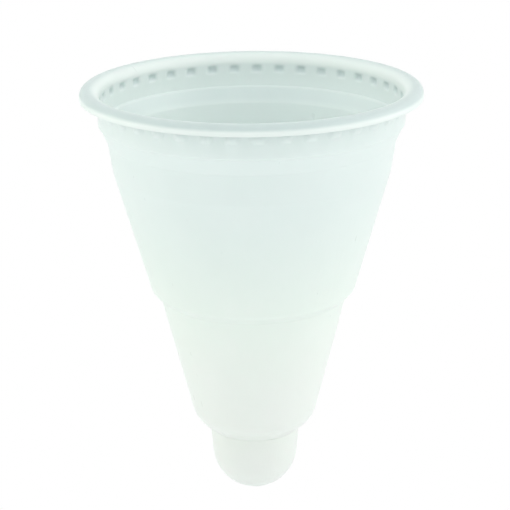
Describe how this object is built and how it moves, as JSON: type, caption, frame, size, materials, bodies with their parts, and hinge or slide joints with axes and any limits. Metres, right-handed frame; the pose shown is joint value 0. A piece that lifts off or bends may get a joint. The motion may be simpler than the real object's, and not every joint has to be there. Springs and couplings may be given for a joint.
{
  "type": "plastic cone cup",
  "caption": "Disposable cone-shaped drinking cup of thin milky plastic, with a rounded tip, a hanging lip and stacking pockets round its neck.",
  "frame": {"origin": "centre of the lip's crest, on the surface that the cup stands on when it is upside down", "axes": "+Z along the cup's axis from the lip to the tip; +X and +Y lie across the mouth"},
  "size_m": [0.07, 0.07, 0.09],
  "materials": {
    "plastic": "milky translucent polypropylene with a soft satin sheen"
  },
  "bodies": {
    "root": {"cup": "plastic"}
  },
  "joints": []
}
